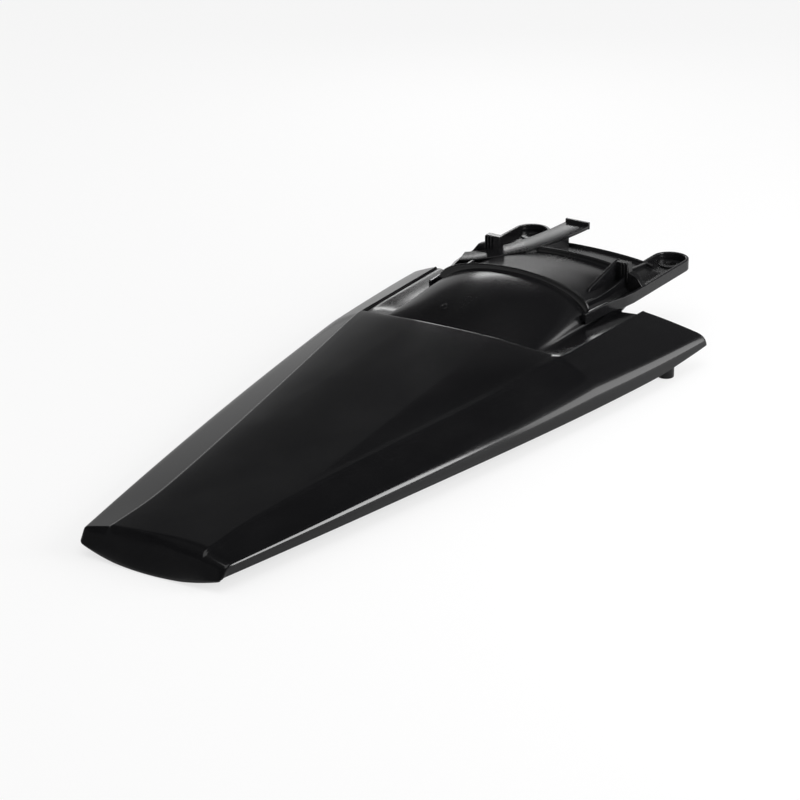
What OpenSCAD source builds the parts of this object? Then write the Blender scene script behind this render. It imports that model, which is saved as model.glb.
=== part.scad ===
// Rear fender of an off-road motorcycle, moulded in one piece.
// X is the rider's right, Y points to the front of the motorcycle, Z is up.
// Stations along Y are given as distances from the tip of the tail.

/* [Stations along the length] */
// From the tail to the middle of the deck's front lip
lip_y = 384; // [340:1:430]
// How much further forward the ends of the lip lie
lip_sweep = 7; // [0:0.5:14]
// From the tail to where the raised deck starts to widen
flare_y = 60; // [40:1:90]
// From the tail to the apex of the facet on the right of the deck
apex_y = 148; // [120:1:200]
// From the tail to the crest across each gutter
crest_y = 446; // [425:1:470]
// From the tail to the front of each wing, at its inner edge
wing_y = 504; // [480:1:520]
// From the tail to where the wings' lower edges start to rise
rise_y = 466; // [440:1:490]
// How much further forward the point of each wing reaches
wing_sweep = 30; // [10:1:40]
// From the tail to the first rib, where the tunnel is highest
rib_1_y = 466; // [450:1:476]
// From the tail to the second rib
rib_2_y = 546; // [530:1:556]
// From the tail to the front rim of the tunnel
rim_y = 582; // [570:1:590]
// From the tail to the two bolt holes
bolt_y = 601; // [598:1:616]
// From the tail to the two bosses under the wings
boss_y = 493; // [470:1:498]

/* [Widths] */
// Width across the tail
tail_w = 115; // [95:1:140]
// Width across the wings
wing_w = 263; // [245:1:290]
// Bow of the sides between tail and wings, 1 for straight
side_bow = 1.38; // [1:0.02:1.6]
// Width of the raised deck at its lip
lip_w = 173; // [165:1:180]
// Width of the raised deck at the tail
deck_tail_w = 75; // [60:1:90]
// Width across the wings' inner edges, at their front
wing_inner_w = 182.6; // [176:0.2:190]
// Width of the tunnel at its foot
tunnel_w = 132; // [122:1:136]
// Distance between the two bolt holes
bolt_pitch = 124; // [118:1:128]
// From the outer edge of each wing to the boss under it
boss_inset = 13.5; // [11:0.5:22]

/* [Heights] */
// Top of the tail, above its lowest point
tail_h = 22.6; // [18:0.2:28]
// Top of the deck at the middle of the lip
lip_h = 49.5; // [45:0.5:55]
// How much lower the ends of the lip lie
lip_drop = 5.7; // [2:0.1:8]
// Height of the raised deck's edge over the strips beside it
step_h = 1.3; // [0.8:0.1:2]
// Lower edge of the sides, at the tail's corners
corner_h = 9; // [7:0.1:12]
// Lower edge of the sides, along their length
edge_h = 10; // [8:0.1:12]
// Lower edge of the sides, at the points of the wings
point_h = 14.8; // [12:0.2:18]
// Outer shoulder of the sides, beside the lip
shoulder_h = 29; // [26:0.5:31]
// Top of the tunnel at the first rib
dome_h = 68; // [62:0.5:74]
// Top of the tunnel at its front rim
rim_h = 52; // [49:0.5:56]
// Floor of the gutter between tunnel and wing
gutter_h = 38; // [35:0.5:40]
// Height of the crest across each gutter
crest_h = 2; // [0.4:0.2:3]
// Depth of the groove beside the raised edge, at the right of the lip
facet_dip = 3.4; // [1:0.1:5]

/* [Shell] */
// Thickness of the shell
wall = 2.8; // [2.2:0.1:3.4]
// Thickness of the ribs, walls and fins
rib_t = 2.6; // [2:0.1:3.2]
// Height of the rear rib over the tunnel, at its crown
rib_1_h = 3.6; // [2.8:0.1:4.6]
// Height of the middle rib over the tunnel
rib_2_h = 3.2; // [2.4:0.1:4.2]
// Height of the rim at the tunnel's front
rim_rib_h = 2.4; // [1.6:0.1:4]
// Outer edge's radius at the tail
edge_r_tail = 2.5; // [1:0.5:3.5]
// Outer edge's radius at the front
edge_r_front = 9; // [6:0.5:12]

/* [Mounting arms] */
// Upper face of the arms' floor
arm_h = 45; // [42.2:0.2:46]
// Height of the arms' rim over that floor
arm_rim = 6; // [5:0.1:8]
// Width of each arm at its bolt
arm_w = 29; // [25:0.5:30]
// Diameter of the bolt holes
bolt_d = 9; // [6:0.1:12]
// Diameter of the pad round each bolt hole
bolt_pad_d = 18; // [15:0.5:22]
// Top of the stops beside the tunnel
stop_h = 67; // [63:0.5:70]
// Top of the web between each stop and the arm's outer wall
web_h = 60; // [56:0.5:62]
// Width of the stops
stop_w = 12.5; // [10:0.5:15]
// Height of the low walls beside the arms' channels, above the tunnel
ridge_h = 2; // [0.6:0.2:4]
// Distance from the tail to the stops
stop_y = 531; // [524:1:536]

/* [Bosses under the wings] */
// Diameter of the bosses
boss_d = 12.5; // [11:0.5:15]
// Diameter of the hole in each boss
boss_hole_d = 5.2; // [4:0.1:6]
// Depth of the hole in each boss
boss_hole_depth = 10; // [6:0.5:12]

/* [Strap with the seat tongue] */
// Height of the bar at the tongue's end
hook_h = 2.6; // [1:0.2:4]
// Width of the strap
strap_w = 20; // [16:0.5:22]
// Thickness of the strap
strap_t = 3; // [2.4:0.1:3.6]
// Height of the strap at the arm's outer wall
strap_low = 53; // [51:0.5:55]
// Height of the tongue's end
strap_high = 64.5; // [61:0.5:68]
// How far the tongue reaches past the front rim
tongue_reach = 18; // [10:0.5:21]

/* [Hidden] */

length = bolt_y + arm_w / 2;
wing_point_y = wing_y + wing_sweep;
lip_end_h = lip_h - lip_drop;
visor_y = 16;

// Straight run of a value from one station to another, held level beyond both.
function run(y, y0, v0, y1, v1) = v0 + (v1 - v0) * min(1, max(0, (y - y0) / (y1 - y0)));
function ease(t) = let (u = min(1, max(0, t))) u * u * (3 - 2 * u);
function mix(a, b, t) = a + (b - a) * t;

// The raised deck: half width, middle height and edge height at a station.
function deck_x(y) = y < lip_y
    ? mix(deck_tail_w, lip_w, pow(max(0, (y - flare_y) / (lip_y - flare_y)), 1.1)) / 2
    : run(y, lip_y, lip_w / 2, wing_y, wing_inner_w / 2);
function deck_mid(y) = run(y, visor_y, tail_h, lip_y, lip_h);
function deck_edge(y) = run(y, visor_y, tail_h - 1, lip_y, lip_end_h);
function deck_z(x, y) = deck_mid(y) - (deck_mid(y) - deck_edge(y)) * pow(x / deck_x(y), 2);

// The sides: half width, virtual shoulder, edge radius and lower edge at a station.
function side_x(y) = mix(wing_w / 2, tail_w / 2 - 1.3, pow(max(0, 1 - y / wing_point_y), side_bow));
function side_corner(y) = y < lip_y ? run(y, 0, tail_h - 6.2, lip_y, shoulder_h)
    : y < wing_y ? run(y, lip_y, shoulder_h, wing_y, shoulder_h - 3.5)
    : run(y, wing_y, shoulder_h - 3.5, wing_point_y, point_h + 6);
function side_r(y) = y < lip_y ? run(y, 0, edge_r_tail, lip_y, edge_r_front)
    : run(y, lip_y, edge_r_front, wing_point_y, edge_r_tail);
function side_low(y) = y < lip_y
    ? run(y, 0, corner_h - 0.4, lip_y / 2, edge_h)
    : run(y, rise_y, edge_h, wing_point_y, point_h);

// The facet at the right of the deck: its inner crease and the groove beside the raised edge.
function facet_gap(y) = run(y, apex_y, 7, lip_y, lip_w / 2 - 34);
function groove_gap(y) = run(y, apex_y, 3.5, lip_y, 7);
function groove_dip(y) = run(y, apex_y, 0, lip_y, facet_dip);

// Height of the deck's upper face with the facet cut into its right half.
function deck_top(x, y, side) = let (xc = deck_x(y), xu = xc - facet_gap(y), xv = xc - groove_gap(y),
        low = deck_z(xv, y) - groove_dip(y))
    side < 0 || x <= xu || x >= xc ? deck_z(x, y)
    : x <= xv ? mix(deck_z(xu, y), low, (x - xu) / (xv - xu))
    : mix(low, deck_z(xc, y), (x - xv) / (xc - xv));

DECK_N = 5;
STRIP_N = 2;
ROLL_N = 5;
EDGE_J = DECK_N + 1;
SIDE_J = EDGE_J + STRIP_N + ROLL_N + 2;

function deck_col(k, y) = let (xc = deck_x(y), xu = xc - facet_gap(y), xv = xc - groove_gap(y))
    [0, xu / 2, xu, (xu + xv) / 2, xv, xc][k];

// One point of the half section: columns run from the middle, over the edge, to the lower edge.
function section(j, y, side) = let (
        foot = [deck_x(y) + 1.6, deck_edge(y) - step_h],
        corner = [side_x(y), side_corner(y)],
        along = (foot - corner) / norm(foot - corner),
        start = corner + along * side_r(y),
        end = corner - [0, side_r(y)],
        low = [side_x(y) - 0.8, side_low(y)])
    j <= DECK_N ? let (x = deck_col(j, y)) [x, deck_top(x, y, side)]
    : j == EDGE_J ? foot
    : j <= EDGE_J + STRIP_N ? mix(foot, start, (j - EDGE_J) / STRIP_N)
    : j <= EDGE_J + STRIP_N + ROLL_N ? let (t = (j - EDGE_J - STRIP_N) / ROLL_N)
        start * pow(1 - t, 2) + corner * 2 * t * (1 - t) + end * t * t
    : mix(end, low, (j - EDGE_J - STRIP_N - ROLL_N) / 2);

// Rows: the visor under the tail, the deck, then the wings beside the tunnel.
VISOR_ROWS = [0, 0.35, 0.7, 0.93];
DECK_ROWS = 13;
WING_ROWS = 9;
LIP_I = len(VISOR_ROWS) + DECK_ROWS;
LAST_I = LIP_I + WING_ROWS;

function share(j, y, side) = section(j, y, side)[0] / side_x(y);
function start_y(j) = visor_y - 5.5 * pow(share(j, visor_y, -1), 2);
function lip_at(j) = lip_y + lip_sweep * pow(min(1, section(min(j, DECK_N), lip_y, -1)[0] / (lip_w / 2)), 2);
function front_at(j) = wing_y + wing_sweep * pow(max(0, min(1,
    (section(j, wing_y, 1)[0] - wing_inner_w / 2) / ((wing_w - wing_inner_w) / 2))), 1.15);
function tail_bottom(j) = let (f = share(j, visor_y, -1), k = max(0, j - EDGE_J - STRIP_N))
    [f * tail_w / 2, 3.4 * f * f + 0.5 * k, (corner_h - 0.6) * pow(f, 2.2) + 0.1 * k];

function shell_point(i, j, side) =
    i < len(VISOR_ROWS) ? let (
        t = VISOR_ROWS[i], low = tail_bottom(j), y = start_y(j), p = section(j, y, side),
        top = [p[0], y, p[1]], bulge = 3 * t * (1 - t) * (1 - pow(share(j, y, side), 4)))
        mix(low, top, t) + [0, -bulge, bulge]
    : i <= LIP_I ? let (
        y = mix(start_y(j), lip_at(j), (i - len(VISOR_ROWS)) / DECK_ROWS), p = section(j, y, side))
        [p[0], y, p[1]]
    : let (y = mix(lip_at(j), front_at(j), (i - LIP_I) / WING_ROWS), p = section(j, y, side))
        [p[0], y, p[1]];

// Mirrored across the middle: column numbers run from minus SIDE_J to SIDE_J.
function point(i, j) = let (p = shell_point(i, abs(j), sign(j))) [j < 0 ? -p[0] : p[0], p[1], p[2]];
function unit(v) = v / norm(v);
function present(i, j) = i >= 0 && i <= LAST_I && abs(j) <= SIDE_J && (i <= LIP_I || abs(j) >= DECK_N);
function neighbour(i, j, di, dj) = present(i + di, j + dj) ? point(i + di, j + dj) : point(i, j);
function normal(i, j) = unit(cross(
    neighbour(i, j, 0, 1) - neighbour(i, j, 0, -1),
    neighbour(i, j, 1, 0) - neighbour(i, j, -1, 0)));

// The inner skin, cut level at the tail's lower edge.
function inner(i, j) = let (p = point(i, j) - wall * normal(i, j)) [p[0], p[1], max(0, p[2])];

// The deck and its sides, as one sheet of even thickness with the tunnel's bay left open.
module deck() {
    wide = 2 * SIDE_J + 1;
    count = (LAST_I + 1) * wide;
    grid = [for (i = [0:LAST_I]) for (j = [-SIDE_J:SIDE_J]) present(i, j) ? point(i, j) : [0, 0, 0]];
    under = [for (i = [0:LAST_I]) for (j = [-SIDE_J:SIDE_J])
        present(i, j) ? inner(i, j) : [0, 0, 0]];
    function at(i, j) = i * wide + j + SIDE_J;
    cells = [for (i = [0:LAST_I - 1]) for (j = [-SIDE_J:SIDE_J - 1])
        if (i < LIP_I || j >= DECK_N || j < -DECK_N) [i, j]];
    top = [for (c = cells) each [
        [at(c[0], c[1]), at(c[0] + 1, c[1]), at(c[0] + 1, c[1] + 1)],
        [at(c[0], c[1]), at(c[0] + 1, c[1] + 1), at(c[0], c[1] + 1)]]];
    rim = concat(
        [for (j = [-SIDE_J:SIDE_J - 1]) [at(0, j), at(0, j + 1)]],
        [for (i = [0:LAST_I - 1]) [at(i, SIDE_J), at(i + 1, SIDE_J)]],
        [for (j = [-SIDE_J:-DECK_N - 1]) [at(LAST_I, j + 1), at(LAST_I, j)]],
        [for (j = [DECK_N:SIDE_J - 1]) [at(LAST_I, j + 1), at(LAST_I, j)]],
        [for (i = [LIP_I:LAST_I - 1]) [at(i, -DECK_N), at(i + 1, -DECK_N)]],
        [for (i = [LIP_I:LAST_I - 1]) [at(i + 1, DECK_N), at(i, DECK_N)]],
        [for (j = [-DECK_N:DECK_N - 1]) [at(LIP_I, j + 1), at(LIP_I, j)]],
        [for (i = [0:LAST_I - 1]) [at(i + 1, -SIDE_J), at(i, -SIDE_J)]]);
    polyhedron(
        points = concat(grid, under),
        faces = concat(top, [for (f = top) [f[2] + count, f[1] + count, f[0] + count]],
            [for (e = rim) each [[e[0], e[1], e[1] + count], [e[0], e[1] + count, e[0] + count]]]));
}

// The tunnel over the wheel and the gutters beside it.
function dome(y) = y < rib_1_y
    ? dome_h - (dome_h - lip_h + 2) * pow((rib_1_y - y) / (rib_1_y - lip_y), 2)
    : run(y, rib_1_y, dome_h, rim_y, rim_h);
function arch(x) = let (f = min(1, abs(x) / (tunnel_w / 2))) pow(max(0, 1 - pow(f, 2.3)), 1 / 2.3);
function base_z(x, y) = let (at = min(abs(x), lip_w / 2),
        crest = crest_h * max(0, 1 - abs(y - crest_y) / (wing_y - crest_y)),
        floor_z = gutter_h + 2.2 * ease((abs(x) - 72) / 16) + crest + (arm_h - wall - gutter_h) * ease((y - wing_y) / 20))
    mix(deck_top(at, lip_y, sign(x)) - 2, floor_z, ease((y - lip_y - lip_sweep * pow(at / (lip_w / 2), 2)) / 26));
function tunnel_z(x, y) = base_z(x, y) + (dome(y) - base_z(0, y)) * arch(x);

ARCH_N = 12;
GUTTER_N = 3;
TUNNEL_J = ARCH_N + GUTTER_N;
TUNNEL_ROWS = 16;

function tunnel_x(j, y) = j <= ARCH_N ? tunnel_w / 2 * sin(90 * j / ARCH_N)
    : mix(tunnel_w / 2, deck_x(y) + 0.9, (j - ARCH_N) / GUTTER_N);
function tunnel_front(j) = j <= ARCH_N ? rim_y : wing_y + 2;
function tunnel_point(i, k) = let (j = abs(k), back = lip_y - 7, y = mix(back, tunnel_front(j), i / TUNNEL_ROWS),
        x = sign(k) * tunnel_x(j, y), z = j < TUNNEL_J ? tunnel_z(x, y) : deck_edge(y) - 1.5)
    [x, y, y < lip_y + lip_sweep * pow(x / tunnel_w, 2) ? deck_top(min(abs(x), deck_x(y)), y, sign(x)) - 2 : z];
function tunnel_normal(i, j) = unit(cross(
    tunnel_point(i, min(j + 1, TUNNEL_J)) - tunnel_point(i, max(j - 1, -TUNNEL_J)),
    tunnel_point(min(i + 1, TUNNEL_ROWS), j) - tunnel_point(max(i - 1, 0), j)));

module tunnel() {
    wide = 2 * TUNNEL_J + 1;
    count = (TUNNEL_ROWS + 1) * wide;
    grid = [for (i = [0:TUNNEL_ROWS]) for (j = [-TUNNEL_J:TUNNEL_J]) tunnel_point(i, j)];
    under = [for (i = [0:TUNNEL_ROWS]) for (j = [-TUNNEL_J:TUNNEL_J])
        abs(j) == TUNNEL_J ? tunnel_point(i, j) - [0, 0, wall / 2]
            : tunnel_point(i, j) - wall * tunnel_normal(i, j)];
    function at(i, j) = i * wide + j + TUNNEL_J;
    top = [for (i = [0:TUNNEL_ROWS - 1]) for (j = [-TUNNEL_J:TUNNEL_J - 1]) each [
        [at(i, j), at(i + 1, j), at(i + 1, j + 1)],
        [at(i, j), at(i + 1, j + 1), at(i, j + 1)]]];
    rim = concat(
        [for (j = [-TUNNEL_J:TUNNEL_J - 1]) [at(0, j), at(0, j + 1)]],
        [for (i = [0:TUNNEL_ROWS - 1]) [at(i, TUNNEL_J), at(i + 1, TUNNEL_J)]],
        [for (j = [-TUNNEL_J:TUNNEL_J - 1]) [at(TUNNEL_ROWS, j + 1), at(TUNNEL_ROWS, j)]],
        [for (i = [0:TUNNEL_ROWS - 1]) [at(i + 1, -TUNNEL_J), at(i, -TUNNEL_J)]]);
    polyhedron(
        points = concat(grid, under),
        faces = concat(top, [for (f = top) [f[2] + count, f[1] + count, f[0] + count]],
            [for (e = rim) each [[e[0], e[1], e[1] + count], [e[0], e[1] + count, e[0] + count]]]));
}

// A profile drawn in X and Z, stood up across the fender from one station forwards.
module across(y, t) {
    translate([0, y + t, 0]) rotate([90, 0, 0]) linear_extrude(t) children();
}

// A profile drawn in Y and Z, stood up along the fender from one side position outwards.
module along(x, t) {
    translate([x, 0, 0]) rotate([90, 0, 90]) linear_extrude(t) children();
}

// A rib over the tunnel, taller at its feet than at its crown.
module tunnel_rib(y, h, foot_h, half_w) {
    n = 24;
    xs = [for (k = [-n:n]) half_w * sin(90 * k / n)];
    across(y, rib_t) polygon(concat(
        [for (x = xs) [x, tunnel_z(x, y + rib_t / 2) - wall / 2]],
        [for (k = [len(xs) - 1:-1:0]) let (x = xs[k], f = pow(abs(x) / half_w, 3))
            [x, tunnel_z(x, y + rib_t / 2) + mix(h, foot_h, f)]]));
}

arm_x = bolt_pitch / 2;
arm_out = arm_x + arm_w / 2;
arm_in = arm_x - arm_w / 2;
flank_x = tunnel_w / 2 - wall / 2;
fin_x = arm_x - stop_w + 1;

module arm_outline() {
    polygon(concat(
        [[flank_x, rib_1_y - 9], [tunnel_w / 2 + 2.5, rib_1_y - 9],
         [arm_out - 5, wing_y - 12], [arm_out, wing_y + 14]],
        [for (a = [0:10:180]) [arm_x + arm_w / 2 * cos(a), bolt_y + arm_w / 2 * sin(a)]],
        [[arm_in, rim_y - 1], [flank_x, rim_y - 1]]));
}

// One mounting arm: a channel with an upstanding rim, on the side where X is positive.
module arm() {
    translate([0, 0, arm_h - wall]) linear_extrude(wall) arm_outline();
    translate([0, 0, arm_h - wall]) linear_extrude(wall + arm_rim) difference() {
        arm_outline();
        offset(delta = -rib_t) arm_outline();
        translate([0, rib_1_y]) square([tunnel_w / 2 + 0.6, rim_y - 1.5 - rib_1_y]);
        translate([0, rib_1_y - 20]) square([flank_x + 0.2, 40]);
    }
    translate([arm_x, bolt_y, arm_h - wall]) cylinder(h = wall + 1.2, d = bolt_pad_d, $fn = 64);
}

// The low wall between an arm's channel and the tunnel: it runs from the rear rib to the stop.
module channel_wall() {
    x = arm_x - 2;
    ys = [for (k = [0:8]) mix(rib_1_y + 1, stop_y + 1, k / 8)];
    along(x - rib_t / 2, rib_t) polygon(concat(
        [for (y = ys) [y, tunnel_z(x, y) - wall / 2]],
        [for (k = [8:-1:0]) let (y = ys[k])
            [y, max(arm_h + arm_rim, tunnel_z(x - rib_t / 2, y)) + ridge_h + 3 * pow(k / 8, 3)]]));
}

// The block that backs the stop, on the arm's floor.
module stop_block() {
    translate([arm_x - 7, stop_y + 4, arm_h - wall / 2])
        cube([11, 10, arm_rim + 3 + wall / 2]);
}

// The fin that starts on the tunnel's flank and rises to the stop.
module fin() {
    start = rib_1_y + 22;
    ys = [for (k = [0:8]) mix(start, rim_y, k / 8)];
    along(fin_x, rib_t) polygon(concat(
        [for (y = ys) [y, tunnel_z(fin_x + rib_t / 2, y) - wall / 2]],
        [[rim_y, arm_h + arm_rim], [stop_y + 9, arm_h + arm_rim + 4], [stop_y + 6, stop_h],
         [stop_y, stop_h], [start + 3, tunnel_z(fin_x, start) + 2]]));
}

// The stop, with the web that ties it to the arm's outer wall and three small ribs.
module stop() {
    xs = [for (k = [0:4]) mix(fin_x, tunnel_w / 2 - 0.7, k / 4)];
    across(stop_y, 6) polygon(concat(
        [for (x = xs) [x, max(arm_h - wall / 2, tunnel_z(x, stop_y + 3) - wall / 2)]],
        [[arm_out - 1, arm_h - wall / 2], [arm_out - 1, arm_h + arm_rim],
         [fin_x + stop_w + 7, web_h - 2], [fin_x + stop_w + 1, web_h],
         [fin_x + stop_w, stop_h], [fin_x, stop_h]]));
    for (k = [0:2])
        translate([fin_x + stop_w - 1 - 2.6 * k, stop_y - 1.1, arm_h + arm_rim + 1])
            cube([1.1, 1.6, stop_h - arm_h - arm_rim - 1.5]);
}

module side_mount() {
    arm();
    channel_wall();
    stop();
    stop_block();
}

module both_sides() {
    children();
    mirror([1, 0, 0]) children();
}

// The strap: it starts at the left arm's wall, crosses the tunnel and runs out as the seat tongue.
STRAP_N = 14;
tongue_x = -19.5;
strap_path = [
    [-arm_out + 3, stop_y - 18], [-arm_x + 12, stop_y - 11],
    [tongue_x - 7.5, stop_y + 14], [tongue_x, rim_y + tongue_reach]];
function strap_at(t) = strap_path[0] * pow(1 - t, 3) + 3 * strap_path[1] * t * pow(1 - t, 2)
    + 3 * strap_path[2] * t * t * (1 - t) + strap_path[3] * pow(t, 3);
function strap_dir(t) = unit(strap_at(min(1, t + 0.01)) - strap_at(max(0, t - 0.01)));
function strap_side(t) = let (d = strap_dir(t)) [d[1], -d[0]];
function strap_z(t) = strap_low + (strap_high - strap_low) * (0.75 * t + 0.25 * ease(t));
function strap_half(t) = strap_w / 2 * (1 + 0.05 * ease((t - 0.7) / 0.3));

// A closed loft through rings that all have the same number of points.
module loft(rings) {
    n = len(rings[0]);
    last = len(rings) - 1;
    polyhedron(
        points = [for (r = rings) each r],
        faces = concat(
            [[for (k = [n - 1:-1:0]) k]],
            [for (i = [0:last - 1]) for (k = [0:n - 1]) let (m = (k + 1) % n) each [
                [i * n + k, i * n + m, (i + 1) * n + m],
                [i * n + k, (i + 1) * n + m, (i + 1) * n + k]]],
            [[for (k = [0:n - 1]) last * n + k]]));
}

module strap() {
    loft([for (i = [0:STRAP_N]) let (t = i / STRAP_N, c = strap_at(t), s = strap_side(t) * strap_half(t), z = strap_z(t))
        [[c[0] - s[0], c[1] - s[1], z - strap_t], [c[0] + s[0], c[1] + s[1], z - strap_t],
         [c[0] + s[0], c[1] + s[1], z], [c[0] - s[0], c[1] - s[1], z]]]);
    // The wall that carries the strap on the arm's floor and on the tunnel.
    web = [for (i = [0:STRAP_N]) if (strap_at(i / STRAP_N)[1] < rim_y - 4) i / STRAP_N];
    loft([for (t = web) let (s = strap_side(t), c = strap_at(t) + s * (strap_half(t) - rib_t),
            p = c, q = c + s * rib_t, z = strap_z(t) - 0.4,
            low = max(arm_h - wall / 2, tunnel_z(c[0], c[1]) - wall / 2))
        [[p[0], p[1], low], [q[0], q[1], low], [q[0], q[1], z], [p[0], p[1], z]]]);
    // The bar across the tongue's end, which hooks under the seat.
    translate([tongue_x - strap_half(1), rim_y + tongue_reach - rib_t, strap_high - strap_t])
        cube([2 * strap_half(1), rib_t, strap_t + hook_h]);
}

boss_x = wing_w / 2 - boss_inset;

// Height of the wing's upper face at a side position, on its flat slope.
function slope_z(x, y) = let (foot = section(EDGE_J, y, -1), corner = [side_x(y), side_corner(y)])
    run(x, foot[0], foot[1], corner[0], corner[1]);

// Each boss is a round post, cut along the slope of the wing that it hangs from.
module wing_bosses() {
    in_x = boss_x - boss_d;
    out_x = boss_x + boss_d;
    both_sides() intersection() {
        translate([boss_x, boss_y, 0]) cylinder(h = lip_h, d = boss_d, $fn = 64);
        across(boss_y - boss_d, 2 * boss_d) polygon(concat(
            [[in_x, -1], [out_x, -1]],
            [for (k = [0:6]) let (x = mix(out_x, in_x, k / 6)) [x, slope_z(x, boss_y) - wall / 2]]));
    }
}

module rear_fender() {
    color([0.05, 0.05, 0.055]) translate([0, -length / 2, 0]) difference() {
        union() {
            deck();
            tunnel();
            tunnel_rib(rib_1_y, rib_1_h, rib_1_h + 5, tunnel_w / 2 - 0.5);
            tunnel_rib(rib_2_y, rib_2_h, rib_2_h + 1, tunnel_w / 2 - 10);
            tunnel_rib(rim_y - rib_t, rim_rib_h, rim_rib_h + 0.6, tunnel_w / 2 - 8);
            both_sides() side_mount();
            fin();
            strap();
            wing_bosses();
        }
        both_sides() translate([bolt_pitch / 2, bolt_y, arm_h - wall - 1])
            cylinder(h = wall + 4, d = bolt_d, $fn = 64);
        both_sides() translate([boss_x, boss_y, -1])
            cylinder(h = boss_hole_depth + 1, d = boss_hole_d, $fn = 48);
    }
}

rear_fender();
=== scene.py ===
import math

import bmesh
import bpy
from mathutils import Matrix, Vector


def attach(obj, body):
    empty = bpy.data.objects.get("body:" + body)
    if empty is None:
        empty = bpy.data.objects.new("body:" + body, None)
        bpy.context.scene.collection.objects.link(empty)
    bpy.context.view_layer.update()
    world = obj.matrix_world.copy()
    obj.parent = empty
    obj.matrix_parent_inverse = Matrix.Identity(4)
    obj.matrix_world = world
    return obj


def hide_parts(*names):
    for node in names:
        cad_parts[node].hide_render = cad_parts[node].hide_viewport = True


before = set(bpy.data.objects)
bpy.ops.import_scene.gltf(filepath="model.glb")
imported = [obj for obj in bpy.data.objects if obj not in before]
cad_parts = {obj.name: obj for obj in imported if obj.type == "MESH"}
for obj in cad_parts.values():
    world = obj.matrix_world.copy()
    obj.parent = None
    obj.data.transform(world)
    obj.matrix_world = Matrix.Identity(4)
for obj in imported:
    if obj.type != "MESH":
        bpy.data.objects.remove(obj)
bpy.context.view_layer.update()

bl_info = {
    "name": "Motorcycle Rear Fender",
    "version": (1, 0, 0),
    "blender": (4, 5, 0),
    "location": "View3D > Sidebar > Fender",
    "description": "Builds a moulded motorcycle rear fender and a small studio round it",
    "category": "Object",
}

MM = 0.001
NODE = "rear_fender"

# Stations along the fender, in millimetres from the tip of the tail.
LIP_Y, LIP_SWEEP = 384.0, 7.0
FLARE_Y, APEX_Y = 60.0, 148.0
WING_Y, WING_SWEEP = 504.0, 30.0
CREST_Y, RISE_Y = 446.0, 466.0
RIB_1_Y, RIB_2_Y, RIM_Y = 466.0, 546.0, 582.0
BOLT_Y, BOSS_Y, STOP_Y = 601.0, 493.0, 531.0
VISOR_Y, WING_BEND_Y = 16.0, 465.0
FACET_FULL_Y, FACET_EASE_Y = 300.0, 310.0
VISOR_SWEEP, TAIL_SWEEP = 5.5, 3.4
EDGE_RISE_RUN, CREASE_RUN, GUTTER_RUN, ARM_RUN = 5.0, 60.0, 26.0, 20.0

# Widths, in millimetres.
TAIL_W, WING_W, SIDE_BOW = 115.0, 263.0, 1.38
LIP_W, DECK_TAIL_W, WING_INNER_W = 173.0, 75.0, 182.6
TUNNEL_W, BOLT_PITCH, BOSS_INSET = 132.0, 124.0, 13.5
SIDE_FOOT_INSET, SIDE_TAIL_INSET, STEP_W = 0.8, 1.3, 1.6
FACET_APEX_W, FACET_LIP_X, GROOVE_APEX_W, GROOVE_LIP_W = 7.0, 34.0, 3.5, 7.0
STOP_RIDGE_W, STOP_RIDGE_PITCH = 1.2, 2.6

# Heights, in millimetres above the tail's lower edge.
TAIL_H, LIP_H, LIP_DROP, STEP_H = 22.6, 49.5, 5.7, 1.3
CORNER_H, EDGE_H, POINT_H, SHOULDER_H = 9.0, 10.0, 14.8, 29.0
DOME_H, RIM_H, GUTTER_H, CREST_H, FACET_DIP = 68.0, 52.0, 38.0, 2.0, 3.4
WING_BEND_DROP, TAIL_CORNER_DROP, POINT_CORNER_RISE = 3.6, 6.2, 8.0
GUTTER_RISE_LEFT, GUTTER_RISE_RIGHT, UNDER_DECK = 5.0, 1.8, 2.0
ARM_H, ARM_RIM, ARM_W = 45.0, 6.0, 29.0
STOP_H, WEB_H, STOP_W = 67.0, 60.0, 12.5
STRAP_LOW, STRAP_HIGH, TONGUE_REACH, TONGUE_X = 53.0, 64.5, 18.0, -19.5
HOOK_H, CHANNEL_RISE = 2.6, 2.0

# Wall, radii of the outer edge and half widths of a crease, in millimetres.
WALL = 2.8
EDGE_R_TAIL, EDGE_R_FRONT, EDGE_R_POINT = 2.5, 16.0, 7.0
CREASE, CREASE_FRONT = 1.0, 0.45
CREASE_ROOM_LEFT, CREASE_ROOM_RIGHT = 1.3, 9.0

# Lean of the sides as a share of that radius, and the share of it that the roll's lower end keeps; the
# share of the facet's depth that reaches the lip.
SIDE_LEAN, ROLL_END_LEAN = 0.10, 0.15
FACET_LIP_SHARE = 0.4

# Powers that bow a line or round a section: tunnel's arch, raised edges, growth of the outer edge's
# radius, and the wings' front edges.
ARCH_POWER, DECK_BOW, EDGE_R_BOW, FRONT_BOW = 2.08, 1.1, 1.3, 0.9

# Column of the skin at the wings' inner edge, and steps of the roll between strips and sides.
BAY_J = 12
ROLL_STEPS = 5

LENGTH = BOLT_Y + ARM_W / 2
HALF_LENGTH = LENGTH / 2
WING_POINT_Y = WING_Y + WING_SWEEP
LIP_END_H = LIP_H - LIP_DROP
ARM_X = BOLT_PITCH / 2
ARM_OUT = ARM_X + ARM_W / 2
ARM_IN = ARM_X - ARM_W / 2
BOSS_X = WING_W / 2 - BOSS_INSET
FIN_X = ARM_X - STOP_W + 1

# Names of the sides, and whether a piece is mirrored there.
SIDES = (("right", False), ("left", True))


# Shape functions. They take and give millimetres, with Y from the tip of the tail, and side is 1 on the
# right and -1 on the left.


def run(y, y0, v0, y1, v1):
    """Straight run of a value between two stations, held level beyond both."""
    return v0 + (v1 - v0) * min(1.0, max(0.0, (y - y0) / (y1 - y0)))


def ease(t):
    """Soft step from 0 to 1."""
    u = min(1.0, max(0.0, t))
    return u * u * (3 - 2 * u)


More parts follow.
